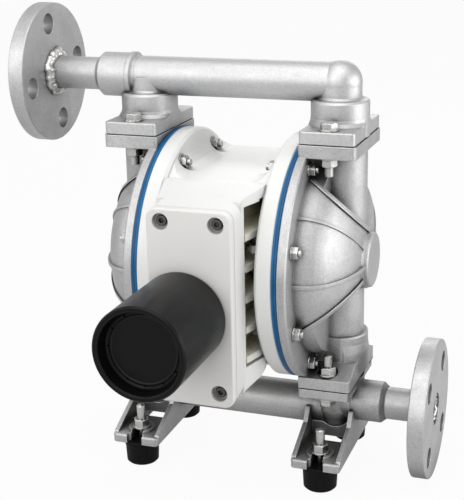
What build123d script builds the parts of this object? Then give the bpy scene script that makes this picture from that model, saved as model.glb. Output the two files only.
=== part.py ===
from build123d import *
import math
import os

# Air operated diaphragm pump, stainless wetted side, flanged 25A ports.
# Frame: X along the diaphragm shaft, -Y the front (muffler side), Z up, floor at Z = 0.
# All sizes in millimetres. Heights below are from the body datum, which the rubber feet
# carry sole_drop above the floor.

# ---- main driving sizes -----------------------------------------------------------------------
ring_r = 108.0            # clamping ring radius, all four discs
axis_z = 195.5            # height of the diaphragm shaft
disc_in = 44.0            # inner face of an air-side disc
disc_out = 59.0           # outer face of an air-side disc
flange_in = 63.5          # chamber flange, inner face (diaphragm rim between)
flange_out = 71.5         # chamber flange, outer face
bolt_circle_r = 95.0      # ring bolts
bolt_angles = (24.0, 72.0, 117.0, 156.0)   # from straight up, the same on front and rear
leg_x = 88.0              # liquid columns, both sides
top_z = 350.0             # axis of the discharge pipe
low_z = 53.0              # axis of the suction pipe
port_z = 61.5             # axis of the suction port
top_joint_z = 304.5       # upper gasket plane
low_joint_z = 86.0        # lower gasket plane
gasket_t = 1.0
low_plate_z = 96.5        # top of the lower joint plates
nut_seat_z = 98.6         # spot faces for the suction nuts
plate_hx = 24.0           # half width of the manifold plates
plate_hy = 46.0           # half length of the manifold plates
plate_bolt_y = 37.0
pipe_r = 17.0
pipe_bore_r = 12.5
flange_od = 125.0         # 25A pipe flange
flange_pcd = 90.0
flange_hole = 19.0
flange_t = 14.0
left_face_x = -181.0      # inner face of the discharge flange
right_face_x = 178.0      # mating face of the suction flange
nipple_r = 14.5
foot_x = 86.0
foot_y = 53.0
foot_h = 21.0
sole_drop = 2.5           # floor to body datum, added to every height at the end
muffler_x = -7.0
muffler_z = 178.0
muffler_r = 38.4
stroke = 8.0
ball_r = 15.0
ball_lift = 6.0

os.makedirs("parts", exist_ok=True)
nodes = {}


# ---- small helpers ----------------------------------------------------------------------------
def cyl(axis, r, a, b, u=0.0, v=0.0):
    """Cylinder along an axis from a to b; u, v are the other two coordinates in order."""
    h = b - a
    if axis == "x":
        return Pos(a, u, v) * Rot(0, 90, 0) * Cylinder(r, h, align=(Align.CENTER, Align.CENTER, Align.MIN))
    if axis == "y":
        return Pos(u, b, v) * Rot(90, 0, 0) * Cylinder(r, h, align=(Align.CENTER, Align.CENTER, Align.MIN))
    return Pos(u, v, a) * Cylinder(r, h, align=(Align.CENTER, Align.CENTER, Align.MIN))


def block(x0, x1, y0, y1, z0, z1):
    return Pos((x0 + x1) / 2, (y0 + y1) / 2, (z0 + z1) / 2) * Box(x1 - x0, y1 - y0, z1 - z0)


def turned_x(points, z=axis_z, y=0.0):
    """Solid of revolution about an X axis; points are (x, r)."""
    face = make_face(Polyline([(px, 0, pr) for px, pr in points], close=True))
    return Pos(0, y, z) * revolve(face, Axis.X, 360)


def turned_z(points, x=0.0, y=0.0):
    """Solid of revolution about a Z axis; points are (r, z)."""
    face = make_face(Polyline([(pr, 0, pz) for pr, pz in points], close=True))
    return Pos(x, y, 0) * revolve(face, Axis.Z, 360)


def turned_y(points, x=0.0, z=0.0):
    """Solid of revolution about a Y axis; points are (r, y)."""
    face = make_face(Polyline([(pr, py, 0) for pr, py in points], close=True))
    return Pos(x, 0, z) * revolve(face, Axis.Y, 360)


def flip(shape):
    return mirror(shape, about=Plane.YZ)


def group(shapes):
    return Compound(children=list(shapes))


def soft(shape, edges, radius):
    """Fillet that falls back to smaller radii when the corner is tight."""
    for r in (radius, radius * 0.7, radius * 0.45):
        try:
            out = fillet(edges, r)
            if out.is_valid and out.volume > 0:
                return out
        except Exception:
            pass
    print("fillet skipped", radius)
    return shape


def hexagon(axis, af, a, b, u=0.0, v=0.0, turn=0.0):
    """Hexagonal prism, af across flats, chamfered on the end b."""
    r = af / math.sqrt(3.0)
    lo, hi = min(a, b), max(a, b)
    prism = extrude(RegularPolygon(r, 6, rotation=turn), hi - lo)
    tip = Cylinder(af * 0.475, hi - lo, align=(Align.CENTER, Align.CENTER, Align.MIN))
    cone_h = (r - af * 0.475) * 0.55
    cut = Cylinder(r + 0.01, hi - lo - cone_h, align=(Align.CENTER, Align.CENTER, Align.MIN))
    cone = Pos(0, 0, hi - lo - cone_h) * Cone(r + 0.01, af * 0.475, cone_h,
                                               align=(Align.CENTER, Align.CENTER, Align.MIN))
    body = prism & (cut + cone + tip)
    if b < a:
        body = Pos(0, 0, hi - lo) * Rot(180, 0, 0) * body
    if axis == "x":
        return Pos(lo, u, v) * Rot(0, 90, 0) * body
    if axis == "y":
        return Pos(u, lo, v) * Rot(-90, 0, 0) * body
    return Pos(u, v, lo) * body


def ring_places(r):
    """(y, z) places round the shaft; angles from straight up toward the front, then the rear."""
    for s in (1, -1):
        for angle in bolt_angles:
            a = math.radians(s * angle)
            yield -r * math.sin(a), axis_z + r * math.cos(a)


def beyond(normal, distance, x_from=0.0):
    """Everything in front of the shaft past a plane, distance from the shaft axis origin."""
    size = math.sqrt(sum(c * c for c in normal))
    n = [c / size for c in normal]
    start = Plane(origin=(n[0] * distance, n[1] * distance, axis_z + n[2] * distance), z_dir=tuple(n))
    return extrude(start * Rectangle(500, 500), 200) & block(x_from, 200, -160, 0, 0, 400)


def both_sides(shape):
    return shape + mirror(shape, about=Plane.XZ)


# ---- centre body: two air discs, saddle block, front valve housing ----------------------------
def centre_body():
    disc = turned_x([(34, 0), (34, 70), (disc_in, 84), (disc_in, ring_r - 2.5), (disc_in + 2.5, ring_r),
                     (disc_out - 0.8, ring_r), (disc_out, ring_r - 0.8), (disc_out, 0)])
    # block between the discs, and the narrower valve housing in front; outlines in Y-Z
    side = Polyline([(-112, 269.3), (-74, 275), (68, 275), (68, 118), (-72, 118), (-84, 110), (-112, 105)],
                    close=True)
    core = extrude(Plane.YZ * make_face(side), 44, both=True)
    nose = Polyline([(-128, 101), (-128, 267), (-74, 275), (-60, 275), (-60, 118), (-72, 118), (-84, 110)],
                    close=True)
    house = extrude(Plane.YZ * make_face(nose), 36.2, both=True)
    long_edges = [e for e in house.edges() if abs(abs(e.center().X) - 36.2) < 0.01 and e.center().Y < -90
                  and abs(e.center().Y + 128) > 1]
    house = soft(house, long_edges, 9.0)
    # plan outline of the block: it widens from the housing to the discs
    plan = Polyline([(36.2, -112), (36.2, -107), (44.2, -76), (44.2, 70), (-44.2, 70), (-44.2, -76),
                     (-36.2, -107), (-36.2, -112)], close=True)
    core = core & extrude(Plane.XY.offset(90) * make_face(plan), 200)
    body = disc + flip(disc) + core + house
    # saddle corners roll up into the discs
    roll = []
    for z0, z1, up in ((275, 291, 1), (118, 102, -1)):
        pts = make_face(Polyline([(44.2, z0 - up), (30, z0 - up), (30, z0), (34, z0 + 0.8 * up),
                                  (38, z0 + 3.2 * up), (41.5, z0 + 7 * up), (43.4, z0 + 11 * up),
                                  (44.2, z1)], close=True))
        strip = extrude(Plane.XZ.offset(-66) * pts, 136 if up > 0 else 130)
        roll.append(strip & cyl("x", ring_r - 4, 20, 50, 0, axis_z))
    for r in roll:
        body = body + r + flip(r)
    # open pockets with flat fins on both flanks
    pocket = block(27, 44.3, -105.5, -80, 126, 264) + block(24, 44.3, -83, 60, 126, 266)
    pocket -= turned_x([(5, 0), (5, 22), (60, 22), (60, 0)])
    pocket -= cyl("x", 9, 5, 60, 36, 168)
    pocket -= cyl("x", 8, 5, 60, -36, axis_z + 24)
    pocket -= cyl("x", 8, 5, 60, -36, axis_z - 30)
    pocket -= turned_x([(33.9, 0), (33.9, 70.1), (disc_in, 84.1), (60, 84.1), (60, 0)])
    for k in range(5):
        z = axis_z - 10.5 + 26.5 * (k - 2)
        pocket -= block(5, 42.6, -104, 61, z - 3.0, z + 3.0)
    body -= pocket
    body -= flip(pocket)
    # air chambers behind the diaphragms
    bowl = turned_x([(40, 0), (40, 66), (50, 86), (disc_out + 1, 88), (disc_out + 1, 0)])
    body -= bowl
    body -= flip(bowl)
    # bores for the shaft and its bushings
    body -= cyl("x", 11.0, -60, 60, 0, axis_z)
    # spot faces and holes for the ring bolts
    for y, z in ring_places(bolt_circle_r):
        body -= cyl("x", 3.3, -60, 60, y, z)
        body -= cyl("x", 7.6, 28, disc_in, y, z)
        body -= cyl("x", 7.6, -disc_in, -28, y, z)
    # main valve bore, open at the bottom
    body -= cyl("z", 12.0, 90, 256, 0, -101)
    body -= cyl("z", 15.0, 90, 116, 0, -101)
    # exhaust way from the valve bore to the front
    body -= cyl("y", 11.0, -130, -101, muffler_x, muffler_z)
    # air inlet at the rear and its way forward over the shaft
    body += cyl("y", 13, 60, 78, 0, 236)
    body -= cyl("y", 5.72, 64, 79, 0, 236)
    body -= cyl("y", 4.0, -101, 66, 0, 236)
    # ways from the valve bore to the two air chambers
    for z in (axis_z + 24, axis_z - 30):
        body -= cyl("y", 4.0, -101, -34, 0, z)
    body -= cyl("x", 3.4, -1, 60, -36, axis_z + 24)
    body -= cyl("x", 3.4, -60, 1, -36, axis_z - 30)
    # pilot bore
    body -= cyl("x", 5.0, -60, 60, 36, 168)
    # cover screw holes
    for x in (-23.5, 23.5):
        for z in (113.5, 256):
            body -= cyl("y", 2.6, -129, -104, x, z)
    return body


nodes["centre_body"] = centre_body()


# ---- front cover, gasket and its four socket screws -------------------------------------------
def rounded_plate_y(hx, z0, z1, y0, y1, r):
    sk = Pos(0, (z0 + z1) / 2) * RectangleRounded(2 * hx, z1 - z0, r)
    return extrude(Plane.XZ.offset(-y1) * sk, y1 - y0)


cover_places = [(x, z) for x in (-23.5, 23.5) for z in (113.5, 256)]
cover = rounded_plate_y(36.2, 101, 267, -136, -128.6, 9)
rim = [e for e in cover.edges() if abs(e.center().Y + 136) < 0.01]
cover = soft(cover, rim, 1.6)
cover -= cyl("y", 10.6, -140, -120, muffler_x, muffler_z)
for x, z in cover_places:
    cover -= cyl("y", 3.3, -140, -120, x, z)
    cover -= cyl("y", 6.9, -137, -129.8, x, z)
nodes["valve_cover"] = cover
seal = rounded_plate_y(35.6, 101.6, 266.4, -128.6, -128, 8.4)
seal -= cyl("y", 11.5, -140, -120, muffler_x, muffler_z)
for x, z in cover_places:
    seal -= cyl("y", 3.3, -140, -120, x, z)
nodes["cover_gasket"] = seal


def socket_screw(x, z):
    head = turned_y([(0, -133.0), (4.0, -133.0), (4.6, -132.4), (4.6, -129.8), (0, -129.8)], x, z)
    head -= Pos(x, -133.2, z) * Rot(-90, 0, 0) * extrude(RegularPolygon(2.5, 6), 2.2)
    return head + cyl("y", 2.55, -130, -106, x, z)


nodes["cover_screws"] = group([socket_screw(x, z) for x, z in cover_places])

# ---- muffler ----------------------------------------------------------------------------------
muff = turned_y([(0, -136.8), (36.4, -136.8), (38.0, -138.2), (muffler_r, -180), (muffler_r, -222.6),
                 (37.4, -224), (34.2, -224), (33.4, -223.2), (31.4, -213.4), (30.2, -212.2), (28.6, -212.2),
                 (28.0, -213.0), (27.4, -213.0), (26.8, -212.4), (0, -212.4)], muffler_x, muffler_z)
muff -= turned_y([(0, -140.5), (33.8, -140.5), (34.8, -150), (34.8, -210), (0, -210)], muffler_x, muffler_z)
for k in range(12):
    a = math.radians(30 * k)
    muff -= cyl("y", 0.8, -214, -208, muffler_x + 29.4 * math.cos(a), muffler_z + 29.4 * math.sin(a))
muff -= cyl("y", 6.0, -142, -130, muffler_x, muffler_z)
muff += cyl("y", 10.5, -136.8, -119, muffler_x, muffler_z) - cyl("y", 6.0, -142, -118, muffler_x, muffler_z)
nodes["muffler_body"] = muff
nodes["muffler_core"] = turned_y([(12, -142), (24, -142), (24, -208.5), (12, -208.5)], muffler_x, muffler_z)

# ---- main air valve: sleeve, spool, seals, bottom plug ----------------------------------------
sleeve = cyl("z", 11.98, 118, 256, 0, -101)
sleeve -= cyl("z", 7.0, 110, 260, 0, -101)
for z in (axis_z - 30, muffler_z, axis_z + 24, 236):
    sleeve -= cyl("x", 2.2, -20, 20, -101, z)
    sleeve -= cyl("y", 2.2, -120, -80, 0, z)
    sleeve -= turned_z([(10.6, z - 3.2), (13, z - 3.2), (13, z + 3.2), (10.6, z + 3.2)], 0, -101)
nodes["valve_sleeve"] = sleeve
spool_pts = [(0, 120), (4, 120)]
for z0, z1 in ((120, 130), (144, 152), (188, 196), (222, 232)):
    spool_pts += [(4, z0), (6.95, z0), (6.95, z1), (4, z1)]
spool_pts += [(0, 232)]
seen = []
for p in spool_pts:
    if not seen or seen[-1] != p:
        seen.append(p)
nodes["valve_spool"] = turned_z(seen, 0, -101)
plug = turned_z([(0, 104), (14.9, 104), (14.9, 116), (11.9, 116), (11.9, 117.8), (0, 117.8)], 0, -101)
plug -= Pos(0, -101, 103.9) * extrude(RegularPolygon(4.6, 6), 5)
nodes["valve_plug"] = plug

# ---- pilot valve ------------------------------------------------------------------------------
pilot_sleeve = cyl("x", 4.98, -38, 38, 36, 168) - cyl("x", 3.05, -40, 40, 36, 168)
nodes["pilot_sleeve"] = pilot_sleeve
nodes["pilot_rod"] = turned_x([(-38.6, 0), (-38.6, 2.2), (-37.8, 3.0), (-8, 3.0), (-8, 2.0), (-2, 2.0),
                               (-2, 3.0), (2, 3.0), (2, 2.0), (8, 2.0), (8, 3.0), (37.8, 3.0),
                               (38.6, 2.2), (38.6, 0)],
                              168, 36)

# ---- shaft, bushings, seals, diaphragm plates -------------------------------------------------
shaft_r = 8.0
nodes["shaft"] = turned_x([(-72, 0), (-72, 5.2), (-71.2, 6.0), (-52, 6.0), (-52, shaft_r), (52, shaft_r),
                           (52, 6.0), (71.2, 6.0), (72, 5.2), (72, 0)])


def bushing(s):
    b = turned_x([(14, shaft_r + 0.05), (14, 11.0), (36, 11.0), (36, shaft_r + 0.05)])
    return b if s > 0 else flip(b)


nodes["shaft_bushings"] = group([bushing(1), bushing(-1)])
lip = turned_x([(36.4, shaft_r + 0.05), (36.4, 11.0), (40.6, 11.0), (40.6, 9.4), (37.6, 9.4),
                (40.4, shaft_r + 0.05)])
nodes["shaft_seals"] = group([lip, flip(lip)])

inner_plate = turned_x([(52, 6.02), (52, 18), (54, 24), (54.6, 56), (56, 60), (58, 60), (58, 6.02)])
outer_plate = turned_x([(61, 6.02), (61, 60), (62, 61), (63.4, 60), (66, 50), (69, 20), (69, 6.02)])
nut = hexagon("x", 18, 69, 76.5, 0, axis_z, 0) - cyl("x", 6.02, 60, 80, 0, axis_z)
cap = cyl("x", 7.6, 76.4, 78, 0, axis_z)
for name, s in (("right", 1), ("left", -1)):
    def side_of(shape, sign=s):
        return shape if sign > 0 else flip(shape)
    nodes["inner_plate_" + name] = side_of(inner_plate)
    nodes["outer_plate_" + name] = side_of(outer_plate)
    nodes["plate_nut_" + name] = side_of(nut + cap)


def membrane_profile():
    outer = [(58.0, 6.02), (58.0, 60.2)]
    air = []
    liquid = []
    for k in range(0, 13):
        t = k / 12.0
        r = 61.5 + 21.0 * t
        bulge = 8.0 * math.sin(math.pi * t) ** 1.2
        air.append((58.2 + bulge, r))
        liquid.append((61.0 + bulge, r))
    rim = [(59.0, 84.6), (59.0, ring_r - 0.6), (59.6, ring_r), (62.9, ring_r), (63.5, ring_r - 0.6),
           (63.5, 86.0)]
    return outer + air + rim + liquid[::-1] + [(61.0, 60.2), (61.0, 6.02)]


membrane = turned_x(membrane_profile())
for y, z in ring_places(bolt_circle_r):
    membrane -= cyl("x", 3.3, 50, 70, y, z)
nodes["diaphragm_right"] = membrane
nodes["diaphragm_left"] = flip(membrane)


# ---- chamber covers (liquid side) -------------------------------------------------------------
def dome_x(r, depth, radius, power=2.3):
    """Height of the bowl above its rim at radius r."""
    return depth * max(0.0, 1.0 - (r / radius) ** power) ** (1.0 / power)


def dome(x0, depth, radius, rim_line, tip_line, tip_r=22.0):
    """Turned bowl closed toward +X. rim_line and tip_line are (x, r) chains that end on the axis."""
    def p(share):
        r = tip_r + (radius - tip_r) * share
        return (x0 + dome_x(r, depth, radius), 0, r)
    rim = (x0, 0, radius)
    mids = [p(0.985), p(0.93), p(0.86), p(0.75), p(0.55), p(0.0)]
    edges = [ThreePointArc(rim, mids[0], mids[1]), ThreePointArc(mids[1], mids[2], mids[3]),
             ThreePointArc(mids[3], mids[4], mids[5])]
    chain = [mids[5]] + [(px, 0, pr) for px, pr in tip_line + rim_line] + [rim]
    edges += [Line(chain[k], chain[k + 1]) for k in range(len(chain) - 1)]
    return Pos(0, 0, axis_z) * revolve(make_face(edges), Axis.X, 360)


def dome_rib(angle, height=1.9, width=2.6):
    """One raised rib, from the hub to the clamp flange."""
    line = []
    for k in range(15):
        r = 22.0 + (87.9 - 22.0) * math.sin(math.pi / 2 * k / 14.0)
        line.append((flange_out + dome_x(r, 43.8 + height, 88.0), r))
    line.append((flange_out - 2, 88.0))
    pts = line + [(flange_out - 2, 80), (90, 60), (104, 20)]
    face = make_face(Polyline([(px, 0, pr) for px, pr in pts], close=True))
    slab = Pos(0, width / 2, 0) * extrude(face, width, dir=(0, -1, 0))
    return Pos(0, 0, axis_z) * Rot(-angle, 0, 0) * slab


# planes that trim the bowl beside the upper column and under the lower rim
top_trim = ((0.593, 0.343, 0.729), 89.3)
low_trim = ((0.573, 0.054, -0.818), 77.0)
trim_x = 80.0             # the cavity stays full up to here, for the outer plate at full stroke


def chamber():
    # clamp flange, bowl and hub in one turned solid
    hub_line = [(116.0, 24.6), (118.6, 24.0), (119.5, 22.6), (119.5, 0)]
    body = dome(flange_out, 43.8, 86.5,
                [(flange_in, 0), (flange_in, ring_r - 0.6), (flange_in + 0.6, ring_r),
                 (flange_out - 1.2, ring_r), (flange_out, ring_r - 1.2)], hub_line, 26.0)
    grown = dome(flange_out, 45.4, 88.0, [(flange_out - 2, 0), (flange_out - 2, 88.0)], [(112.0, 0)], 26.0)
    hub = cyl("x", 25.5, 60, 140, 0, axis_z)
    front = block(60, 140, -120, 0, 0, 400)
    # the bowl falls away behind straight raised rims
    for normal, d in (top_trim, low_trim):
        cut = beyond(normal, d, trim_x + 5.5) & front
        rim = grown & beyond(normal, d - 3.0) & front - beyond(normal, d)
        body = body - both_sides(cut - hub) + both_sides(rim - hub)
    # raised ribs run from the hub to the flange
    for angle, height, width in ((53, 1.3, 2.2), (91, 2.6, 3.2)):
        for s in (1, -1):
            body += dome_rib(s * angle, height, width)
    # upper column with its web, lower column with its web
    body += cyl("z", 22.0, axis_z + 12, 294, leg_x + 2, 0)
    body += block(flange_in, leg_x + 2, -17, 17, axis_z + 30, 294)
    body += cyl("z", 22.5, 94, axis_z - 14, leg_x, 0)
    body += block(flange_in, leg_x, -20, 20, 94, axis_z - 34)
    # lower ball housing: flat front and rear, round outside, ledge on top
    outline = Pos(leg_x, 0) * Circle(26.4)
    outline += Pos((flange_in + leg_x) / 2, 0) * Rectangle(leg_x - flange_in, 50)
    outline &= Pos(leg_x, 0) * Rectangle(120, 50)
    housing = extrude(Plane.XY.offset(94) * outline, 34.5)
    ledge = [e for e in housing.edges() if abs(e.center().Z - 128.5) < 0.01 and e.center().X > flange_in + 1]
    body += soft(housing, ledge, 1.6)
    body += turned_z([(0, 94), (27.4, 94), (27.4, 112), (26.2, 122), (0, 122)], leg_x, 0) & \
        block(leg_x, leg_x + 40, -24.6, 24.6, 90, 130)
    # joint plates
    top = Pos(leg_x, 0) * RectangleRounded(2 * plate_hx + 2, 2 * plate_hy, 4)
    body += extrude(Plane.XY.offset(293) * top, top_joint_z - gasket_t / 2 - 293)
    low = Pos(leg_x - 2, 0) * RectangleRounded(2 * plate_hx, 2 * plate_hy, 3)
    low_start = low_joint_z + gasket_t / 2
    body += extrude(Plane.XY.offset(low_start) * low, low_plate_z - low_start)
    # sloped skirt from the ball housing down to the lower plate
    slope = make_face(Polyline([(-45.4, low_plate_z), (-25, 105.5), (25, 105.5), (45.4, low_plate_z)],
                               close=True))
    skirt = extrude(Plane.YZ.offset(flange_in) * slope, 50)
    skirt &= extrude(Plane.XY.offset(90) * low, 30)
    body += skirt
    # small arched lug cast on the front of the ball housing
    lug = block(70.2, 75.0, -26.6, -24, 110, 121) + cyl("y", 2.4, -26.6, -24, 72.6, 121)
    lug -= block(71.6, 73.6, -27, -25.2, 109, 121) + cyl("y", 1.0, -27, -25.2, 72.6, 121)
    body += lug
    body = body - block(20, flange_in, -200, 200, 0, 400)
    # cavity, kept inside the trimmed bowl
    cavity = dome(66.0, 44.0, 82.0, [(60, 0), (60, 84.5)], [(110.0, 0)], 20.0)
    for (normal, d), half in ((top_trim, 11), (low_trim, 14)):
        web_way = block(60, leg_x, -half, half, 0, 400) + cyl("z", 16.5, 0, 400, leg_x, 0)
        cavity -= both_sides((beyond(normal, d - 5.5, trim_x) & front) - web_way)
    body -= cavity
    # discharge way and its seat pocket
    body -= cyl("z", 17.5, axis_z + 30, 310, leg_x, 0)
    body -= cyl("z", 21.03, top_joint_z - 6.5, 310, leg_x, 0)
    # suction way: seat pocket, ball bore, opening to the cavity
    body -= cyl("z", 21.03, 80, 92.5, leg_x, 0)
    body -= cyl("z", 18.0, 92, 124, leg_x, 0)
    body -= cyl("z", 16.0, 120, axis_z - 30, leg_x, 0)
    for a in (45, 135):
        bar = Pos(leg_x, 0, 125.0) * Rot(0, 0, a) * Box(38, 4.0, 5.0)
        body += bar & cyl("z", 19.5, 120, 132, leg_x, 0)
    # holes
    for y, z in ring_places(bolt_circle_r):
        body -= cyl("x", 3.3, 60, 80, y, z)
        body -= cyl("x", 7.4, flange_out, 84, y, z)
    for y in (-plate_bolt_y, plate_bolt_y):
        body -= cyl("z", 4.4, 284, 310, leg_x, y)
        body -= cyl("z", 9.0, 281, 293, leg_x, y)
        body -= cyl("z", 5.0, 275.5, 293, leg_x, y)
        body -= cyl("z", 4.4, 80, 100, leg_x, y)
        body -= cyl("z", 9.2, nut_seat_z, 118, leg_x, y)
    return body


right_chamber = chamber()
nodes["chamber_right"] = right_chamber
nodes["chamber_left"] = flip(right_chamber)

# ---- ball valves ------------------------------------------------------------------------------
seat_pts = [(11.5, 0), (21.0, 0), (21.0, 6.0), (13.6, 6.0), (11.5, 4.0)]
seat_edge_r = 11.5
reach = 4.0 + math.sqrt((ball_r + 0.3) ** 2 - seat_edge_r ** 2)
for level, z0 in (("suction", 86.5), ("discharge", top_joint_z - 6.5)):
    for name, s in (("right", 1), ("left", -1)):
        nodes["seat_%s_%s" % (level, name)] = turned_z([(r, z0 + z) for r, z in seat_pts], s * leg_x, 0)
        nodes["ball_%s_%s" % (level, name)] = Pos(s * leg_x, 0, z0 + reach) * Sphere(ball_r)

# ---- gaskets between chambers and manifolds ---------------------------------------------------
for level, z0, dx, bore in (("upper", top_joint_z - gasket_t / 2, 0, 19.0),
                            ("lower", low_joint_z - gasket_t / 2, -1.0, 13.0)):
    pads = []
    for s in (1, -1):
        g = Pos(s * (leg_x + dx), 0) * RectangleRounded(2 * plate_hx - 1.6, 2 * plate_hy - 1.6, 3)
        pad = extrude(Plane.XY.offset(z0) * g, gasket_t)
        pad -= cyl("z", bore, z0 - 1, z0 + 3, s * leg_x, 0)
        for y in (-plate_bolt_y, plate_bolt_y):
            pad -= cyl("z", 4.4, z0 - 1, z0 + 3, s * leg_x, y)
        pads.append(pad)
    nodes["gaskets_" + level] = group(pads)


# ---- discharge manifold -----------------------------------------------------------------------
def discharge_manifold():
    z0 = top_joint_z + gasket_t / 2
    boss_x = -134.0
    tube = cyl("x", pipe_r, -100, leg_x, 0, top_z)
    tube += Pos(leg_x, 0, top_z) * Sphere(18.6)
    body = tube
    body += turned_x([(boss_x, 0), (boss_x, 15.5), (boss_x + 4.5, 19.6), (-103.5, 19.6), (-103.0, 20.6),
                      (-99.6, 20.6), (-98.4, 17.4), (-96, 17.4), (-96, 0)], top_z)
    for s in (1, -1):
        leg = turned_z([(0, top_z), (18.4, top_z), (18.4, 338.5), (20.2, 336.8), (24.0, 336.0),
                        (25.2, 334.2), (25.2, 321), (25.8, 318.5), (27.0, 316.8), (28.3, 315.6),
                        (28.3, z0), (0, z0)], s * leg_x, 0)
        leg = leg & (cyl("z", 25.3, 300, 400, s * leg_x, 0) +
                     block(s * leg_x - plate_hx, s * leg_x + plate_hx, -33, 33, 300, 330))
        g = Pos(s * leg_x, 0) * RectangleRounded(2 * plate_hx, 2 * plate_hy, 3.5)
        plate = extrude(Plane.XY.offset(z0) * g, 10.5)
        plate = soft(plate, [e for e in plate.edges() if abs(e.center().Z - (z0 + 10.5)) < 0.01], 1.2)
        body = body + leg + plate
    # liquid ways
    body -= cyl("x", pipe_bore_r, -120, leg_x, 0, top_z)
    body -= Pos(leg_x, 0, top_z) * Sphere(13.0)
    body -= cyl("x", 14.55, boss_x - 1, -112, 0, top_z)
    for s in (1, -1):
        body -= cyl("z", 17.8, z0 - 1, 335.5, s * leg_x, 0)
        body -= cyl("z", 12.5, 330, top_z, s * leg_x, 0)
        for a in (45, 135):
            bar = Pos(s * leg_x, 0, 336.5) * Rot(0, 0, a) * Box(36.6, 4.0, 5.0)
            body += bar & cyl("z", 18.2, 325, 340, s * leg_x, 0)
        for y in (-plate_bolt_y, plate_bolt_y):
            body -= cyl("z", 4.4, 300, 320, s * leg_x, y)
    return body


nodes["discharge_manifold"] = discharge_manifold()


# ---- suction manifold -------------------------------------------------------------------------
def suction_manifold():
    z1 = low_joint_z - gasket_t / 2
    body = cyl("x", 18.0, -leg_x, leg_x, 0, low_z)
    for s in (1, -1):
        body += Pos(s * leg_x, 0, low_z) * Sphere(20.5)
        body += turned_z([(0, low_z), (21, low_z), (21, 72), (24, z1 - 8), (24, z1), (0, z1)], s * leg_x, 0)
        g = Pos(s * (leg_x - 2), 0) * RectangleRounded(2 * plate_hx - 2, 2 * plate_hy, 3.5)
        plate = extrude(Plane.XY.offset(z1 - 8.5) * g, 8.5)
        plate = soft(plate, [e for e in plate.edges() if abs(e.center().Z - (z1 - 8.5)) < 0.01], 1.2)
        body += plate
    body += turned_x([(leg_x, 0), (leg_x, 20), (103.5, 20), (104.5, 18.6), (129.8, 18.6), (134, 15.2),
                      (134, 0)], port_z)
    body -= cyl("x", pipe_bore_r, -leg_x, leg_x, 0, low_z)
    for s in (1, -1):
        body -= Pos(s * leg_x, 0, low_z + 1) * Sphere(15.0)
        body -= cyl("z", 12.5, low_z, 95, s * leg_x, 0)
        for y in (-plate_bolt_y, plate_bolt_y):
            body -= cyl("z", 4.4, 70, 95, s * leg_x, y)
            body -= cyl("z", 9.4, 55, z1 - 8.5, s * leg_x, y)
    body -= cyl("x", pipe_bore_r, leg_x, 120, 0, port_z)
    body -= cyl("x", 14.55, 112, 136, 0, port_z)
    return body


nodes["suction_manifold"] = suction_manifold()


# ---- foot brackets ----------------------------------------------------------------------------
def foot_bracket(sx):
    cx = sx * (foot_x - 0.5)
    base = block(cx - 22, cx + 22, -71, 71, foot_h, foot_h + 8)
    base = soft(base, base.edges().filter_by(Axis.Z), 4.0)
    base = soft(base, [e for e in base.edges() if e.center().Z > foot_h + 7.9], 2.0)
    side = make_face(Polyline([(-69, foot_h + 5), (-66, foot_h + 9), (-30, 46), (-22, 58), (22, 58), (30, 46),
                               (66, foot_h + 9), (69, foot_h + 5)], close=True))
    for s in (1, -1):
        base += Pos(cx + s * 20, 0, 0) * extrude(Plane.YZ * side, 2.0, both=True)
    # raised rounds under the stud washers, then the open slots
    for s in (1, -1):
        base += cyl("z", 12, foot_h, foot_h + 10, sx * foot_x, s * foot_y)
        slot = cyl("z", 5.5, 10, 60, sx * foot_x, s * (foot_y - 1))
        slot += block(sx * foot_x - 5.5, sx * foot_x + 5.5, min(s * (foot_y - 1), s * 80),
                      max(s * (foot_y - 1), s * 80), 10, 60)
        wide = extrude(Plane.XY.offset(10) * (Pos(sx * foot_x, s * 72) * RectangleRounded(15, 14, 3)), 50)
        slot += wide
        base -= slot
    base -= block(cx - 12, cx + 12, -26, 26, foot_h - 1, foot_h + 9)
    # saddle that takes the suction pipe, welded to it
    base += block(cx - 20, cx + 20, -14, -10, foot_h + 7, 50) + block(cx - 20, cx + 20, 10, 14, foot_h + 7, 50)
    base -= cyl("x", 18.0, -leg_x, leg_x, 0, low_z)
    base -= Pos(sx * leg_x, 0, low_z) * Sphere(20.5)
    base -= cyl("z", 21.0, low_z, 90, sx * leg_x, 0)
    base -= cyl("x", 20.0, leg_x, 105, 0, port_z)
    base -= cyl("x", 18.6, 100, 140, 0, port_z)
    return base


nodes["foot_bracket_left"] = foot_bracket(-1)
nodes["foot_bracket_right"] = foot_bracket(1)


# ---- rubber feet with studs, washers and nuts -------------------------------------------------
def rubber_foot(x, y):
    return turned_z([(13.2, -sole_drop), (14.8, 1.6 - sole_drop), (15.6, 15), (16.4, 16),
                     (16.4, foot_h - 0.6), (15.8, foot_h),
                     (4.02, foot_h), (4.02, 9), (8, 9), (8, 7), (6.5, 7), (6.5, 0.5 - sole_drop),
                     (10.5, 0.5 - sole_drop), (10.5, -sole_drop)], x, y)


def foot_insert(x, y):
    """Tapped M8 insert bonded in the sole, under the stud."""
    return turned_z([(3.4, -sole_drop), (10.45, -sole_drop), (10.45, 0.45 - sole_drop),
                     (6.45, 0.45 - sole_drop), (6.45, 6.95), (0, 6.95), (0, 6.0), (3.4, 6.0)], x, y)


def foot_stud(x, y):
    return turned_z([(0, 7.2), (7.9, 7.2), (7.9, 8.9), (4.0, 8.9), (4.0, 51.9), (3.4, 52.5), (0, 52.5)], x, y)


def foot_nut(x, y):
    w = cyl("z", 8.4, foot_h + 10, foot_h + 11.6, x, y)
    n = hexagon("z", 13, foot_h + 11.6, foot_h + 18.4, x, y)
    return (w + n) - cyl("z", 4.02, 20, 60, x, y)


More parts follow.
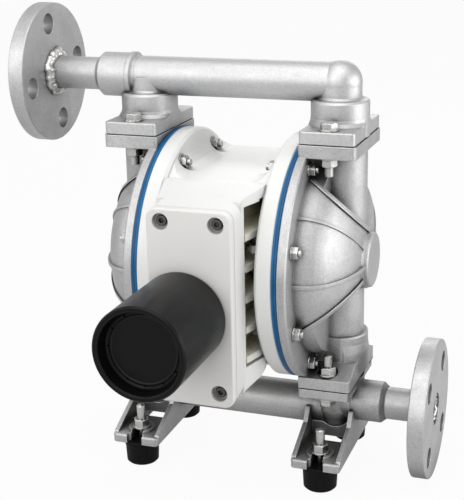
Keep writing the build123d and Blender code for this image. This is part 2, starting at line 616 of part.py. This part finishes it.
for fy, fr in ((-1, "front"), (1, "rear")):
    for fx, sd in ((-1, "left"), (1, "right")):
        nodes["foot_%s_%s" % (fr, sd)] = rubber_foot(fx * foot_x, fy * foot_y)
corners = [(fx * foot_x, fy * foot_y) for fx in (1, -1) for fy in (1, -1)]
nodes["foot_inserts"] = group([foot_insert(x, y) for x, y in corners])
nodes["foot_studs"] = group([foot_stud(x, y) for x, y in corners])
nodes["foot_nuts"] = group([foot_nut(x, y) for x, y in corners])


# ---- pipe flanges, nipples and welds ----------------------------------------------------------
def pipe_flange(x0, x1, z, phase):
    f = cyl("x", flange_od / 2, x0, x1, 0, z)
    f = soft(f, f.edges().filter_by(GeomType.CIRCLE), 1.0)
    f -= cyl("x", nipple_r + 0.02, x0 - 1, x1 + 1, 0, z)
    for k in range(4):
        a = math.radians(phase + 90 * k)
        y, w = -flange_pcd / 2 * math.sin(a), z + flange_pcd / 2 * math.cos(a)
        f -= cyl("x", flange_hole / 2, x0 - 1, x1 + 1, y, w)
    return f


nodes["discharge_flange"] = pipe_flange(left_face_x - flange_t, left_face_x, top_z, 11)
nodes["suction_flange"] = pipe_flange(right_face_x - flange_t, right_face_x, port_z, 50)


def nipple(x0, x1, z):
    return cyl("x", nipple_r, x0, x1, 0, z) - cyl("x", 11.2, x0 - 1, x1 + 1, 0, z)


nodes["discharge_nipple"] = nipple(left_face_x - flange_t + 4, -113, top_z)
nodes["suction_nipple"] = nipple(113, right_face_x - 4, port_z)


def weld(x0, s, z, r0=nipple_r):
    """Fillet bead round a nipple, against the plane x0, on the side s."""
    pts = [(x0, r0 + 0.03), (x0, r0 + 6.6), (x0 + s * 2.0, r0 + 6.2), (x0 + s * 4.6, r0 + 4.0),
           (x0 + s * 6.2, r0 + 1.6), (x0 + s * 6.4, r0 + 0.03)]
    return turned_x(pts, z)


def root_weld(x0, s, z):
    """Bead inside the flange bore, on the nipple's end."""
    pts = [(x0, nipple_r - 0.05), (x0, 11.6), (x0 + s * 1.4, 11.8), (x0 + s * 2.6, nipple_r - 0.05)]
    return turned_x(pts, z)


nodes["discharge_welds"] = group([weld(left_face_x, 1, top_z),
                                  root_weld(left_face_x - flange_t + 4, -1, top_z)])
nodes["suction_welds"] = group([weld(right_face_x - flange_t, -1, port_z),
                                root_weld(right_face_x - 4, 1, port_z)])


# ---- fasteners --------------------------------------------------------------------------------
def ring_bolt(y, z):
    head = cyl("x", 7.0, disc_in - 1.4, disc_in, y, z)
    head += hexagon("x", 10, disc_in - 1.4, disc_in - 6.6, y, z, 15)
    tip = cyl("x", 2.98, disc_in - 9.6, disc_in - 6, y, z)
    return head + tip + cyl("x", 2.98, disc_in - 1, 79.8, y, z)


def ring_nut(y, z):
    w = cyl("x", 6.6, flange_out, flange_out + 1.2, y, z)
    n = hexagon("x", 10, flange_out + 1.2, flange_out + 6.2, y, z, 15)
    return (w + n) - cyl("x", 3.0, 60, 90, y, z)


bolts = [ring_bolt(y, z) for y, z in ring_places(bolt_circle_r)]
nuts = [ring_nut(y, z) for y, z in ring_places(bolt_circle_r)]
nodes["ring_bolts_right"] = group(bolts)
nodes["ring_nuts_right"] = group(nuts)
nodes["ring_bolts_left"] = group([flip(b) for b in bolts])
nodes["ring_nuts_left"] = group([flip(n) for n in nuts])


def plate_bolt(x, y, z_head, z_end, up):
    """Hex bolt with washer; up = 1 has its head on top."""
    w = cyl("z", 8.4, min(z_head, z_head + up * 1.6), max(z_head, z_head + up * 1.6), x, y)
    h = hexagon("z", 13, z_head + up * 1.6, z_head + up * 7.0, x, y, 0)
    s = cyl("z", 3.98, min(z_head, z_end), max(z_head, z_end), x, y)
    return w + h + s


def plate_nut(x, y, z0, up):
    w = cyl("z", 8.0, min(z0, z0 + up * 1.4), max(z0, z0 + up * 1.4), x, y)
    n = hexagon("z", 13, z0 + up * 1.4, z0 + up * 7.6, x, y, 0)
    return (w + n) - cyl("z", 4.0, z0 - 20, z0 + 20, x, y)


spots = [(sx * leg_x, sy * plate_bolt_y) for sx in (1, -1) for sy in (1, -1)]
nodes["discharge_bolts"] = group([plate_bolt(x, y, 315.5, 277, 1) for x, y in spots])
nodes["discharge_nuts"] = group([plate_nut(x, y, 293, -1) for x, y in spots])
nodes["suction_bolts"] = group([plate_bolt(x, y, 77.0, 116, -1) for x, y in spots])
nodes["suction_nuts"] = group([plate_nut(x, y, nut_seat_z, 1) for x, y in spots])

for name, shape in nodes.items():
    pieces = [Pos(0, 0, sole_drop) * piece for piece in shape.solids()]
    export_step(pieces[0] if len(pieces) == 1 else group(pieces), "parts/%s.step" % name)
print(len(nodes), "nodes")
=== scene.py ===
import math
import random

import bmesh
import bpy
from mathutils import Matrix, Vector


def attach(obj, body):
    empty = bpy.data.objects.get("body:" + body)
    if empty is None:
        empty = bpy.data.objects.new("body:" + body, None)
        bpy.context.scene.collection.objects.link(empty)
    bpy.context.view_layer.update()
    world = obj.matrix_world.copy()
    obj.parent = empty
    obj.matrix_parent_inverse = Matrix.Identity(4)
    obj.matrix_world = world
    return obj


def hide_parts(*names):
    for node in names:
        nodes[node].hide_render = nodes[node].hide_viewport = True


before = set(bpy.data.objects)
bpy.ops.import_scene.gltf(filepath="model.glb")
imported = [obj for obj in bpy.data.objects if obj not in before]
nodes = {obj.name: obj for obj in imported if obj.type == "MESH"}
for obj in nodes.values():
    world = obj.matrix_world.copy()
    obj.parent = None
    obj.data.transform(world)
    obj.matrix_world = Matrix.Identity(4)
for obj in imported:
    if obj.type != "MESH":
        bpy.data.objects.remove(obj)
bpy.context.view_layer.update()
BODY = "pump_body"

# sizes shared with the part, metres
AXIS_Z = 0.198
LEG_X = 0.088
TOP_Z = 0.3525
PORT_Z = 0.064
LEFT_OPEN_FACE = -0.195
RIGHT_OPEN_FACE = 0.178
FLANGE_T = 0.014
NIPPLE_R = 0.0145
NIPPLE_SHORT = 0.004           # the nipples stop this far behind the flanges' open faces
FOOT_X, FOOT_Y = 0.086, 0.053
RING_BOLT_ANGLES = (24.0, 72.0, 117.0, 156.0)
RING_BOLT_R = 0.095
PLATE_BOLT_Y = 0.037


# ---- shader node helpers ------------------------------------------------------------------
AIR_SAMPLES = 6
BEVEL_SAMPLES = 4
SHADE_AIR = (0.15, 0.85)     # open air at which the painted shade is darkest, and at which it ends
EDGE_TURN = (0.985, 0.80)      # cosine between the rounded and the true normal, off an edge and on it
EDGE_AIR = (0.55, 0.85)        # open air at an inner corner and at an outer edge
EDGE_AIR_REACH = 2.5           # edge radii over which that air is looked at


def node(tree, kind, sockets=None, **settings):
    """Adds a node; a socket's value is a number, a colour or another node's output."""
    made = tree.nodes.new(kind)
    for key, value in settings.items():
        setattr(made, key, value)
    for key, value in (sockets or {}).items():
        if isinstance(value, bpy.types.NodeSocket):
            tree.links.new(value, made.inputs[key])
        else:
            made.inputs[key].default_value = value
    return made


def new_material(name):
    mat = bpy.data.materials.new(name)
    mat.use_nodes = True
    return mat, mat.node_tree, mat.node_tree.nodes["Principled BSDF"]


def calc(tree, operation, *terms):
    """Math node on numbers or outputs."""
    return node(tree, "ShaderNodeMath", dict(enumerate(terms)), operation=operation).outputs[0]


def object_xyz(tree):
    """Object coordinates, split into X, Y and Z outputs."""
    coords = node(tree, "ShaderNodeTexCoord").outputs["Object"]
    return node(tree, "ShaderNodeSeparateXYZ", {0: coords}).outputs


def noise(tree, scale, detail, rough=0.55):
    return node(tree, "ShaderNodeTexNoise", {
        "Vector": node(tree, "ShaderNodeTexCoord").outputs["Object"],
        "Scale": scale, "Detail": detail, "Roughness": rough}).outputs["Fac"]


def span(tree, source, start, end):
    """0 at start and below, 1 at end and past it; end may be the smaller one."""
    return node(tree, "ShaderNodeMapRange", {"Value": source, "From Min": start, "From Max": end}).outputs[0]


def rgba(value):
    """A grey number or a colour as four numbers."""
    return (value, value, value, 1.0) if isinstance(value, (int, float)) else (*value, 1.0)


def ramp(tree, source, low, high, start=0.3, end=0.7):
    """From one grey or colour to another while the source goes from start to end."""
    made = node(tree, "ShaderNodeValToRGB", {"Fac": source})
    for stop, place, value in zip(made.color_ramp.elements, (start, end), (low, high)):
        stop.position = place
        stop.color = rgba(value)
    return made.outputs["Color"]


def multiply(tree, first, second):
    return node(tree, "ShaderNodeMix", {"Factor": 1.0, 6: first, 7: second},
                data_type="RGBA", blend_type="MULTIPLY").outputs[2]


def mix_in(tree, base, mask, colour):
    """Puts a colour over the base where the mask is 1."""
    return node(tree, "ShaderNodeMix", {"Factor": mask, 6: base, 7: rgba(colour)},
                data_type="RGBA").outputs[2]


def open_air(tree, distance):
    """1 where nothing is near, less in corners and holes."""
    return node(tree, "ShaderNodeAmbientOcclusion", {"Distance": distance}, samples=AIR_SAMPLES).outputs["AO"]


def painted_shade(tree, distance, darkest):
    """Painted shade: a grey that darkens where surfaces meet and where other parts come within the distance.
    """
    return ramp(tree, open_air(tree, distance), darkest, 1.0, *SHADE_AIR)


def rounded_normal(tree, radius):
    return node(tree, "ShaderNodeBevel", {"Radius": radius}, samples=BEVEL_SAMPLES).outputs[0]


def outer_edges(tree, rounded, radius):
    """1 on outer edges: the rounded normal turns away there, and the air is open."""
    true_normal = node(tree, "ShaderNodeNewGeometry").outputs["Normal"]
    dot = node(tree, "ShaderNodeVectorMath", {0: rounded, 1: true_normal}, operation="DOT_PRODUCT")
    turned = span(tree, dot.outputs["Value"], *EDGE_TURN)
    outside = span(tree, open_air(tree, radius * EDGE_AIR_REACH), *EDGE_AIR)
    return calc(tree, "MULTIPLY", turned, outside)


def bump(tree, shader, layers, start):
    """Stacks bump layers, (height output, strength, distance in metres), on a first normal."""
    normal = start
    for height, strength, distance in layers:
        normal = node(tree, "ShaderNodeBump", {
            "Height": height, "Strength": strength, "Distance": distance, "Normal": normal}).outputs["Normal"]
    tree.links.new(normal, shader.inputs["Normal"])


def finish_material(tree, shader, base, roughness):
    tree.links.new(base, shader.inputs["Base Color"])
    tree.links.new(roughness, shader.inputs["Roughness"])


# ---- materials ----------------------------------------------------------------------------
# noise scales, in waves per metre
METAL_CLOUDS, METAL_SPECKS, METAL_SMEARS, METAL_WAVES = 38.0, 620.0, 160.0, 70.0
PAINT_CLOUDS, PAINT_SMEARS, PAINT_PEEL, PAINT_WAVES = 22.0, 120.0, 420.0, 45.0
MATT_CLOUDS, MATT_SMEARS = 60.0, 200.0

METAL_CORNER = 0.010           # how far out of a corner its painted shade reaches
PAINT_CORNER = 0.014
COATED_EDGE = 0.0012           # edge radius of painted, moulded and sheet pieces

# where the side pockets of the centre casting start to take their painted reflection tint, and where they
# have it all
POCKET_SIDE = (0.0425, 0.030)
POCKET_FRONT = (-0.107, -0.104)
POCKET_BACK = (0.063, 0.061)
POCKET_TOP = (0.2695, 0.2665)
POCKET_BOTTOM = (0.126, 0.129)

# bands along X on a diaphragm's moulded rim: a painted highlight on a lip, painted shade in a groove and a
# painted highlight on a second lip
RIM_LIGHT_AND_SHADE = ((0.0590, (1.0, 1.35, 1.3)), (0.0604, (1.0, 1.25, 1.2)), (0.0609, (0.5, 0.5, 0.6)),
             (0.0616, (0.5, 0.5, 0.6)), (0.0621, (0.9, 0.95, 1.0)), (0.0640, (0.7, 0.75, 0.85)))


def metal(name, colour, rough, grain, grain_depth, mottle=0.06, grain_scale=900.0, shade_in_corners=0.72, edge=0.0008,
          speckle=0.05, waves=0.0006, shade=0.35, reach=0.055):
    """Cast, drawn or machined metal; lengths in metres.

    mottle and speckle are how far clouds and specks darken it, shade_in_corners and shade how bright its
    painted shade leaves it in corners and within reach of other parts, grain and waves its fine and broad
    relief.
    """
    rough_vary = 0.06
    wave_strength = 0.25
    worn_and_lit_edge = [min(0.95, c * 1.3) for c in colour]
    clouded = [c * (1.0 - mottle) for c in colour]
    mat, tree, shader = new_material(name)
    shader.inputs["Metallic"].default_value = 1.0
    base = ramp(tree, noise(tree, METAL_CLOUDS, 4.0), clouded, colour)
    specks = ramp(tree, noise(tree, METAL_SPECKS, 3.0), 1.0 - speckle * 2, 1.0, 0.35, 0.6)
    base = multiply(tree, base, specks)
    # painted shade: darker in corners and within reach of other parts
    base = multiply(tree, base, painted_shade(tree, METAL_CORNER, shade_in_corners))
    base = multiply(tree, base, painted_shade(tree, reach, shade))
    rounded = rounded_normal(tree, edge)
    # lighter outer edges: partly wear, partly a painted highlight
    base = mix_in(tree, base, outer_edges(tree, rounded, edge), worn_and_lit_edge)
    smears = ramp(tree, noise(tree, METAL_SMEARS, 4.0), rough - rough_vary, rough + rough_vary)
    finish_material(tree, shader, base, smears)
    bump(tree, shader, [(noise(tree, grain_scale, 3.0), grain, grain_depth),
                        (noise(tree, METAL_WAVES, 2.0), wave_strength, waves)], rounded)
    return mat


def pocket_mask(tree):
    """1 inside the side pockets of the centre casting."""
    x, y, z = object_xyz(tree)
    mask = span(tree, calc(tree, "ABSOLUTE", x), *POCKET_SIDE)
    for source, limits in ((y, POCKET_FRONT), (y, POCKET_BACK), (z, POCKET_TOP), (z, POCKET_BOTTOM)):
        mask = calc(tree, "MULTIPLY", mask, span(tree, source, *limits))
    return mask


def paint(name, colour, rough, pocket=None):
    """Coated casting with painted shade in its corners; pocket is a khaki tint painted deep in its side
    pockets as a reflection.
    """
    painted_corner_grey = 0.60
    peel_strength, peel_depth = 0.12, 0.0003
    wave_strength, wave_depth = 0.10, 0.0008
    clouded = [c * 0.965 for c in colour]
    mat, tree, shader = new_material(name)
    base = ramp(tree, noise(tree, PAINT_CLOUDS, 3.0), clouded, colour)
    # painted shade in the corners of the coat
    base = multiply(tree, base, painted_shade(tree, PAINT_CORNER, painted_corner_grey))
    if pocket:
        # painted reflection: a khaki tint deep in the side pockets
        base = mix_in(tree, base, pocket_mask(tree), pocket)
    smears = ramp(tree, noise(tree, PAINT_SMEARS, 3.0), rough - 0.05, rough + 0.06)
    finish_material(tree, shader, base, smears)
    bump(tree, shader, [(noise(tree, PAINT_PEEL, 2.0), peel_strength, peel_depth),
                        (noise(tree, PAINT_WAVES, 2.0), wave_strength, wave_depth)],
         rounded_normal(tree, COATED_EDGE))
    return mat


def banded(tree, base, lines):
    """Multiplies in colour bands, given as (distance from the centre plane, colour)."""
    first, last = lines[0][0], lines[-1][0]
    side = calc(tree, "ABSOLUTE", object_xyz(tree)["X"])
    bands = node(tree, "ShaderNodeValToRGB", {"Fac": span(tree, side, first, last)})
    stops = bands.color_ramp.elements
    for place, tint in lines[1:-1]:
        stops.new((place - first) / (last - first)).color = rgba(tint)
    stops[0].color = rgba(lines[0][1])
    stops[len(stops) - 1].color = rgba(lines[-1][1])
    return multiply(tree, base, bands.outputs["Color"])


def matt(name, colour, rough, scale, depth, strength=0.3, gloss=0.5, vary=0.06, edge_highlight=None, lines=None):
    """Rubber, resin or sheet; edge_highlight is a colour painted on its outer edges as a highlight, lines are
    colour bands along X, used as painted highlight and shade.
    """
    clouded = [c * 0.7 for c in colour]
    mat, tree, shader = new_material(name)
    shader.inputs["Specular IOR Level"].default_value = gloss
    base = ramp(tree, noise(tree, MATT_CLOUDS, 4.0), clouded, colour)
    if lines:
        # painted highlight and shade bands, where lines are given
        base = banded(tree, base, lines)
    rounded = rounded_normal(tree, COATED_EDGE)
    if edge_highlight:
        # painted highlight on the outer edges
        base = mix_in(tree, base, outer_edges(tree, rounded, COATED_EDGE), edge_highlight)
    smears = ramp(tree, noise(tree, MATT_SMEARS, 4.0), rough - vary, rough + vary)
    finish_material(tree, shader, base, smears)
    bump(tree, shader, [(noise(tree, scale, 3.0), strength, depth)], rounded)
    return mat


cast = metal("cast_steel", (0.60, 0.60, 0.60), rough=0.48, grain=0.85, grain_depth=0.00032, mottle=0.12,
             shade_in_corners=0.50, edge=0.0012, speckle=0.07, waves=0.0012)
# cast steel again, with deeper painted shade in corners and beneath the centre body, for the suction manifold
shaded_cast = metal("shaded_cast", (0.60, 0.60, 0.60), rough=0.42, grain=0.85, grain_depth=0.00032, mottle=0.12,
                  shade_in_corners=0.35, edge=0.0011, speckle=0.07, waves=0.0010, shade=0.16, reach=0.060)
pipe_steel = metal("pipe_steel", (0.62, 0.62, 0.625), rough=0.49, grain=0.6, grain_depth=0.00022,
                   grain_scale=1100.0, shade_in_corners=0.4, waves=0.0008)
flange_steel = metal("flange_steel", (0.62, 0.62, 0.62), rough=0.46, grain=0.7, grain_depth=0.00026,
                     mottle=0.16, shade_in_corners=0.4, speckle=0.07, waves=0.0009)
bolt_steel = metal("bolt_steel", (0.66, 0.655, 0.64), rough=0.25, grain=0.12, grain_depth=0.0001,
                   mottle=0.08, shade_in_corners=0.35)
weld_steel = metal("weld_steel", (0.72, 0.715, 0.70), rough=0.30, grain=0.4, grain_depth=0.0003,
                   mottle=0.14, shade_in_corners=0.75, shade=0.8)
dark_steel = metal("dark_steel", (0.16, 0.158, 0.15), rough=0.34, grain=0.15, grain_depth=0.0001,
                   mottle=0.15, shade_in_corners=0.4)
polished = metal("polished_steel", (0.74, 0.74, 0.74), rough=0.12, grain=0.05, grain_depth=0.00005)
alloy = metal("light_alloy", (0.70, 0.71, 0.72), rough=0.34, grain=0.3, grain_depth=0.0001)

# its pocket colour is a painted reflection tint
white = paint("white_coat", (0.81, 0.81, 0.795), 0.40, pocket=(0.78, 0.75, 0.60))
cover_coat = paint("cover_coat", (0.80, 0.785, 0.762), 0.45)

# its edge colour is a painted highlight on the rim edges
muffler_black = matt("muffler_black", (0.003, 0.003, 0.0033), 0.30, scale=1500.0, depth=0.00003,
                     strength=0.1, gloss=0.17, vary=0.02, edge_highlight=(0.035, 0.035, 0.036))
rubber = matt("foot_rubber", (0.005, 0.005, 0.005), 0.5, scale=500.0, depth=0.0002, gloss=0.12)
gasket = matt("gasket_sheet", (0.035, 0.04, 0.05), 0.6, scale=900.0, depth=0.0001)
blue = matt("diaphragm_blue", (0.008, 0.135, 0.32), 0.42, scale=300.0, depth=0.0001, gloss=0.3,
            lines=RIM_LIGHT_AND_SHADE)
resin = matt("pale_resin", (0.78, 0.74, 0.62), 0.45, scale=500.0, depth=0.0001, strength=0.15)
ball_white = matt("ball_resin", (0.86, 0.86, 0.84), 0.35, scale=500.0, depth=0.0001, strength=0.1)
fibre = matt("fibre", (0.72, 0.72, 0.69), 0.85, scale=800.0, depth=0.0006, strength=0.8)

# node names without _left or _right
LOOKS = (
    (white, ("centre_body",)),
    (cover_coat, ("valve_cover",)),
    (dark_steel, ("cover_screws",)),
    (muffler_black, ("muffler_body",)),
    (fibre, ("muffler_core",)),
    (polished, ("shaft", "pilot_rod")),
    (alloy, ("valve_sleeve", "valve_spool", "valve_plug", "inner_plate")),
    (resin, ("pilot_sleeve", "shaft_bushings")),
    (gasket, ("cover_gasket", "shaft_seals", "gaskets_upper", "gaskets_lower")),
    (blue, ("diaphragm",)),
    (ball_white, ("ball_suction", "ball_discharge")),
    (rubber, ("foot_front", "foot_rear")),
    (cast, ("chamber", "foot_bracket")),
    (shaded_cast, ("suction_manifold",)),
    (pipe_steel, ("discharge_manifold", "discharge_nipple", "suction_nipple")),
    (flange_steel, ("discharge_flange", "suction_flange", "outer_plate", "seat_suction", "seat_discharge")),
    (weld_steel, ("discharge_welds", "suction_welds")),
    (bolt_steel, ("foot_inserts", "foot_studs", "foot_nuts", "discharge_bolts", "discharge_nuts",
                  "suction_bolts", "suction_nuts", "plate_nut", "ring_bolts", "ring_nuts")),
)
look = {name: material for material, names in LOOKS for name in names}
for name, obj in nodes.items():
    obj.data.materials.clear()
    obj.data.materials.append(look[name.removesuffix("_left").removesuffix("_right")])


# ---- mesh helpers -------------------------------------------------------------------------
def finish_piece(name, parts, material, stand_for=()):
    """Joins parts, each (verts, faces), into one smooth piece that rides the pump body."""
    verts, faces = [], []
    for part_verts, part_faces in parts:
        shift = len(verts)
        verts += part_verts
        faces += [tuple(i + shift for i in face) for face in part_faces]
    mesh = bpy.data.meshes.new(name)
    mesh.from_pydata(verts, [], faces)
    bm = bmesh.new()
    bm.from_mesh(mesh)
    bmesh.ops.recalc_face_normals(bm, faces=bm.faces)
    bm.to_mesh(mesh)
    bm.free()
    for polygon in mesh.polygons:
        polygon.use_smooth = True
    mesh.materials.append(material)
    obj = bpy.data.objects.new(name, mesh)
    bpy.context.scene.collection.objects.link(obj)
    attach(obj, BODY)
    if stand_for:
        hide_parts(*stand_for)


def tube_grid(rows, closed_rows=False):
    """Faces over a row of rings; closed_rows joins the last ring to the first."""
    count = len(rows[0])
    verts = [v for row in rows for v in row]
    faces = []
    for i in range(len(rows) if closed_rows else len(rows) - 1):
        j = (i + 1) % len(rows)
        for k in range(count):
            m = (k + 1) % count
            faces.append((i * count + k, i * count + m, j * count + m, j * count + k))
    return verts, faces


# ---- weld beads ---------------------------------------------------------------------------
def round_pipe(x0, way, z, outline, around):
    """Turns a closed outline about a pipe axis; outline(a) gives (x along way, radius) points."""
    rows = []
    for k in range(around):
        a = 2 * math.pi * k / around
        rows.append([(x0 + way * x, -r * math.sin(a), z + r * math.cos(a)) for x, r in outline(a)])
    return tube_grid(rows, closed_rows=True)


def weld_bead(x0, way, z, seed):
    """Hand-laid bead round the nipple, lumpy in height and width."""
    height, spread = 0.0074, 0.0070
    steps = 10
    fullness = 0.85
    sunk_x, sunk_r = 0.0002, 0.0004
    foot_r = NIPPLE_R - 0.0005
    draw = random.Random(seed)
    # lumps as (turns, size, phase)
    lumps = [(turns, size, draw.random() * 2 * math.pi) for turns, size in
             ((2, 0.08), (3, 0.08), (5, 0.07), (8, 0.09), (13, 0.06), (19, 0.04), (29, 0.02))]

    def outline(a):
        tall = height * (0.95 + sum(size * math.sin(turns * a + phase) for turns, size, phase in lumps))
        wide = spread * (0.95 + sum(size * math.cos(turns * a + 2 * phase) for turns, size, phase in lumps))
        points = []
        for q in range(steps + 1):
            turn = q / steps * math.pi / 2
            points.append((wide * math.sin(turn) ** fullness - sunk_x,
                           NIPPLE_R - sunk_r + tall * math.cos(turn) ** fullness))
        return points + [(-sunk_x, foot_r)]

    return round_pipe(x0, way, z, outline, around=168)


def root_bead(x0, way, z, seed):
    """Uneven inner weld on the nipple's end, inside the flange bore."""
    middle_r, half_width, height = 0.0129, 0.00155, 0.0026
    sunk_x = 0.0001
    steps = 8
    phase_range = 6.28
    draw = random.Random(seed)
    lumps = [(turns, size, draw.random() * phase_range) for turns, size in ((9, 0.16), (17, 0.10), (4, 0.12))]

    def outline(a):
        tall = height * (1.0 + sum(size * math.sin(turns * a + phase) for turns, size, phase in lumps))
        turns_over = [math.pi * q / steps for q in range(steps + 1)]
        return [(tall * math.sin(b) - sunk_x, middle_r + half_width * math.cos(b)) for b in turns_over]

    return round_pipe(x0, way, z, outline, around=96)


# piece, the node it stands for, open face, way back along the pipe, height and the two seeds
WELDS = (
    ("weld_left", "discharge_welds", LEFT_OPEN_FACE, 1, TOP_Z, (3, 5)),
    ("weld_right", "suction_welds", RIGHT_OPEN_FACE, -1, PORT_Z, (11, 13)),
)
for name, replaced, open_face, way, z, seeds in WELDS:
    outer = weld_bead(open_face + way * FLANGE_T, way, z, seeds[0])
    inner = root_bead(open_face + way * NIPPLE_SHORT, -way, z, seeds[1])
    finish_piece(name, [outer, inner], weld_steel, stand_for=(replaced,))


# ---- thread skins on the bolt and stud ends -----------------------------------------------
# a thread as (radius, pitch, depth)
M8 = (0.00403, 0.00125, 0.0006)
M6 = (0.00302, 0.0010, 0.00045)


def thread(axis, centre, start, end, size, around):
    """Helical thread skin over a round rod, from start to its free end along the axis."""
    radius, pitch, depth = size
    steps_per_turn = 6
    run_out, run_out_depth = pitch * 0.8, depth * 0.9
    rows = []
    count = max(2, int(abs(end - start) / pitch * steps_per_turn))
    for i in range(count + 1):
        along = start + (end - start) * i / count
        full = min(1.0, abs(end - along) / run_out)
        ring = []
        for k in range(around):
            angle = 2 * math.pi * k / around
            phase = (abs(along - start) / pitch - k / around) % 1.0
            r = radius - depth * abs(2 * phase - 1) - run_out_depth * (1 - full)
            u, w = centre[0] + r * math.cos(angle), centre[1] + r * math.sin(angle)
            ring.append((along, u, w) if axis == "x" else (u, w, along))
        rows.append(ring)
    verts, faces = tube_grid(rows)
    last = (len(rows) - 1) * around
    faces.append(tuple(last + k for k in range(around)))
    faces.append(tuple(reversed(range(around))))
    return verts, faces


# each skin's start and free end along its rod
STUD_END = (0.0417, 0.0553)
RING_NUT_END = (0.0775, 0.0799)
RING_INNER_END = (0.0378, 0.0343)
DISCHARGE_BOLT_END = (0.2885, 0.2793)
SUCTION_BOLT_END = (0.1082, 0.1186)

skins = []
for x in (-FOOT_X, FOOT_X):
    for y in (-FOOT_Y, FOOT_Y):
        skins.append(thread("z", (x, y), *STUD_END, M8, around=28))
finish_piece("stud_threads", skins, bolt_steel)

skins = []
for side in (-1, 1):
    for angle in RING_BOLT_ANGLES:
        for turn in (math.radians(-angle), math.radians(angle)):
            centre = (-RING_BOLT_R * math.sin(turn), AXIS_Z + RING_BOLT_R * math.cos(turn))
            for start, end in (RING_NUT_END, RING_INNER_END):
                skins.append(thread("x", centre, side * start, side * end, M6, around=20))
finish_piece("ring_bolt_tips", skins, bolt_steel)

skins = []
for x in (-LEG_X, LEG_X):
    for y in (-PLATE_BOLT_Y, PLATE_BOLT_Y):
        for start, end in (DISCHARGE_BOLT_END, SUCTION_BOLT_END):
            skins.append(thread("z", (x, y), start, end, M8, around=24))
finish_piece("plate_bolt_tips", skins, bolt_steel)

# ---- floor --------------------------------------------------------------------------------
FLOOR_REACH = 30
FLOOR_GREY = 0.55
FLOOR_GLOW_SEEN = 0.95         # share of white glow that the camera sees
FLOOR_GLOW_MIRRORED = 0.30     # and that the metal mirrors

mesh = bpy.data.meshes.new("floor")
mesh.from_pydata([(-FLOOR_REACH, -FLOOR_REACH, 0), (FLOOR_REACH, -FLOOR_REACH, 0),
                  (FLOOR_REACH, FLOOR_REACH, 0), (-FLOOR_REACH, FLOOR_REACH, 0)], [], [(0, 1, 2, 3)])
floor = bpy.data.objects.new("floor", mesh)
bpy.context.scene.collection.objects.link(floor)
mat = bpy.data.materials.new("floor_white")
mat.use_nodes = True
tree = mat.node_tree
tree.nodes.clear()
path = node(tree, "ShaderNodeLightPath")
mirrored = calc(tree, "MULTIPLY", path.outputs["Is Glossy Ray"], FLOOR_GLOW_MIRRORED)
seen = calc(tree, "MULTIPLY", path.outputs["Is Camera Ray"], FLOOR_GLOW_SEEN)
diffuse = node(tree, "ShaderNodeBsdfDiffuse", {"Color": rgba(FLOOR_GREY)})
glow = node(tree, "ShaderNodeEmission", {"Color": rgba(1.0)})
mixer = node(tree, "ShaderNodeMixShader", {0: calc(tree, "MAXIMUM", mirrored, seen),
                                           1: diffuse.outputs[0], 2: glow.outputs[0]})
node(tree, "ShaderNodeOutputMaterial", {0: mixer.outputs[0]})
mesh.materials.append(mat)

# ---- surroundings and lamps ---------------------------------------------------------------
AMBIENT = 0.56                 # light that comes from all around
AMBIENT_MIRRORED = 0.12        # what the metal mirrors on top of it

world = bpy.data.worlds.new("studio")
bpy.context.scene.world = world
world.use_nodes = True
tree = world.node_tree
tree.nodes.clear()
path = node(tree, "ShaderNodeLightPath")
ambient = calc(tree, "MULTIPLY_ADD", path.outputs["Is Glossy Ray"], AMBIENT_MIRRORED, AMBIENT)
back = node(tree, "ShaderNodeBackground", {
    "Color": rgba(1.0), "Strength": calc(tree, "MAXIMUM", path.outputs["Is Camera Ray"], ambient)})
node(tree, "ShaderNodeOutputWorld", {0: back.outputs[0]})

LAMP_TARGET = Vector((0.0, -0.03, 0.18))
# name, place, width, height, watts
LAMPS = (
    ("top", (0.05, -0.35, 1.40), 1.3, 1.0, 6.5),
    ("right", (1.50, 0.00, 0.42), 1.3, 0.8, 10.0),
    ("left", (-1.25, -0.75, 0.65), 0.45, 1.2, 2.0),
    ("front", (-0.40, -1.60, 1.00), 1.9, 1.3, 12.0),
    ("rear", (-0.30, 1.8, 1.0), 1.0, 0.9, 4.5),
)
for name, place, width, height, watts in LAMPS:
    light = bpy.data.lights.new(name, "AREA")
    light.shape = "RECTANGLE"
    light.size = width
    light.size_y = height
    light.energy = watts
    obj = bpy.data.objects.new(name, light)
    obj.location = place
    obj.rotation_euler = (LAMP_TARGET - Vector(place)).to_track_quat("-Z", "Y").to_euler()
    bpy.context.scene.collection.objects.link(obj)

# ---- camera, fitted to the photo ----------------------------------------------------------
CAMERA_PLACE = (0.3367, -0.9583, 0.5101)
YAW, PITCH, ROLL = (math.radians(angle) for angle in (20.02, -17.14, -1.14))
FOCAL_PX = 1172.1
PHOTO_HEIGHT_PX = 500.0
SENSOR_MM = 36.0

cam_data = bpy.data.cameras.new("camera")
cam = bpy.data.objects.new("camera", cam_data)
bpy.context.scene.collection.objects.link(cam)
forward = Vector((-math.sin(YAW) * math.cos(PITCH), math.cos(YAW) * math.cos(PITCH), math.sin(PITCH)))
level_right = Vector((math.cos(YAW), math.sin(YAW), 0.0))
level_up = level_right.cross(forward)
right = level_right * math.cos(ROLL) + level_up * math.sin(ROLL)
up = level_up * math.cos(ROLL) - level_right * math.sin(ROLL)
turned = Matrix((right, up, -forward)).transposed().to_4x4()
cam.matrix_world = Matrix.Translation(CAMERA_PLACE) @ turned
cam_data.sensor_width = SENSOR_MM
cam_data.lens = FOCAL_PX / PHOTO_HEIGHT_PX * SENSOR_MM
cam_data.clip_start = 0.05
cam_data.clip_end = 200.0
bpy.context.scene.camera = cam

bpy.context.scene.view_settings.view_transform = "Standard"
